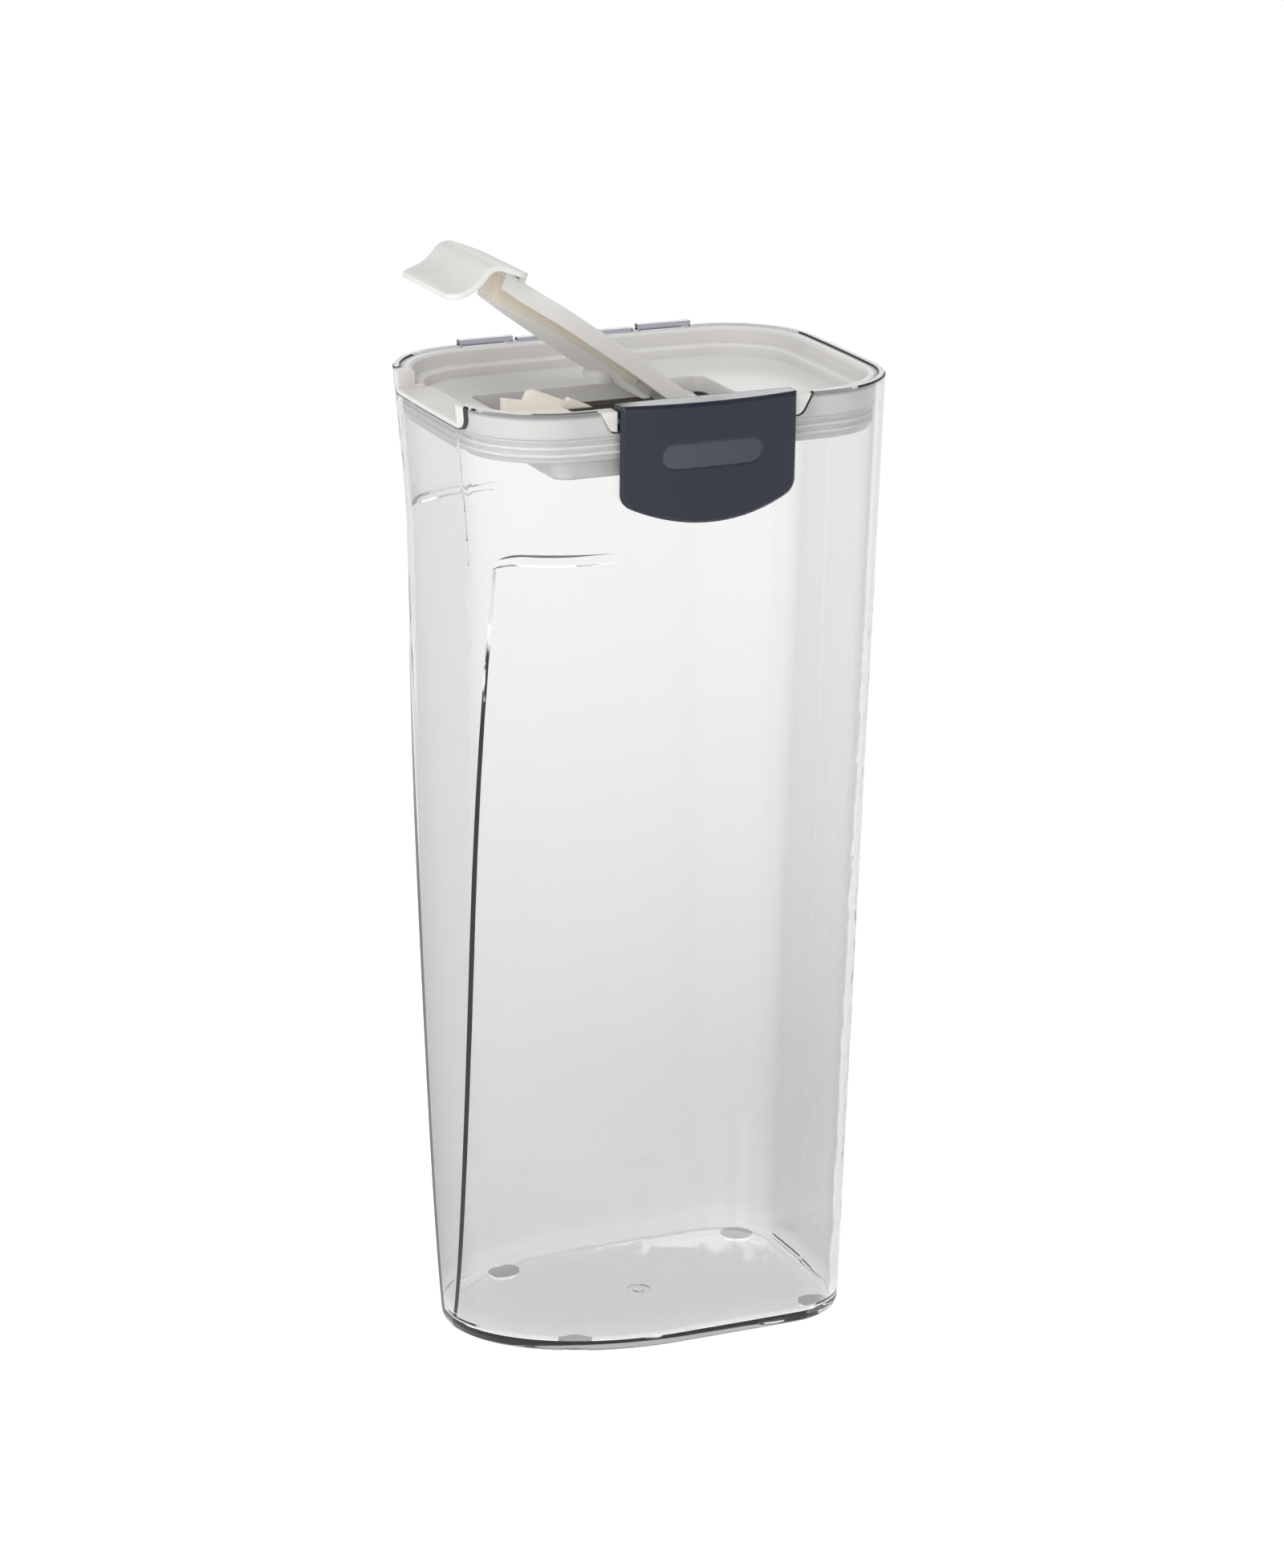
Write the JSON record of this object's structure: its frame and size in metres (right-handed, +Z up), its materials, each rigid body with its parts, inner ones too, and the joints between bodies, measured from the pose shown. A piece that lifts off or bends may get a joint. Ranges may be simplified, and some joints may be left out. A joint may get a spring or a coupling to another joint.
{
  "type": "pasta storage container",
  "caption": "Tall clear keeper for long dry pasta with a plug lid, a flip-up pouring spout and a front latch, on small round feet.",
  "frame": {"origin": "on the ground, under the middle of the mouth and of the whole object", "axes": "+Z up; +X along the mouth's length, away from the spout; -Y towards the latch"},
  "size_m": [0.1317, 0.1069, 0.3272],
  "materials": {
    "clear_plastic": "clear, polished",
    "clear_pad": "clear, polished",
    "white_plastic": "satin",
    "cream_plastic": "satin",
    "grey_silicone": "translucent matte",
    "cream_silicone": "matte",
    "slate_plastic": "gloss",
    "badge_plastic": "satin",
    "steel_pin": "drawn"
  },
  "bodies": {
    "container": {"container_body": "clear_plastic", "foot_front_left": "clear_pad", "foot_front_right": "clear_pad", "foot_rear_left": "clear_pad", "foot_rear_right": "clear_pad"},
    "lid": {"lid_tray": "white_plastic", "lid_seal": "grey_silicone", "lid_base": "white_plastic", "serving_gauge": "cream_plastic", "arm_hinge_pin": "steel_pin", "latch_hinge_pin": "steel_pin"},
    "arm": {"spout_arm": "white_plastic", "arm_seal": "cream_silicone"},
    "latch": {"front_latch": "slate_plastic", "latch_badge": "badge_plastic"}
  },
  "joints": [
    {"name": "lid_hinge", "type": "hinge", "parent": "container", "child": "lid", "pos_m": [0, 0.04858, 0.2904], "axis": [-1, 0, 0], "range_deg": [0, 100]},
    {"name": "arm_hinge", "type": "hinge", "parent": "lid", "child": "arm", "pos_m": [0.02, 0, 0.275], "axis": [0, 1, 0], "range_deg": [-21.9, 50]},
    {"name": "latch_hinge", "type": "hinge", "parent": "lid", "child": "latch", "pos_m": [0, -0.0478, 0.2866], "axis": [-1, 0, 0], "range_deg": [0, 95]}
  ]
}
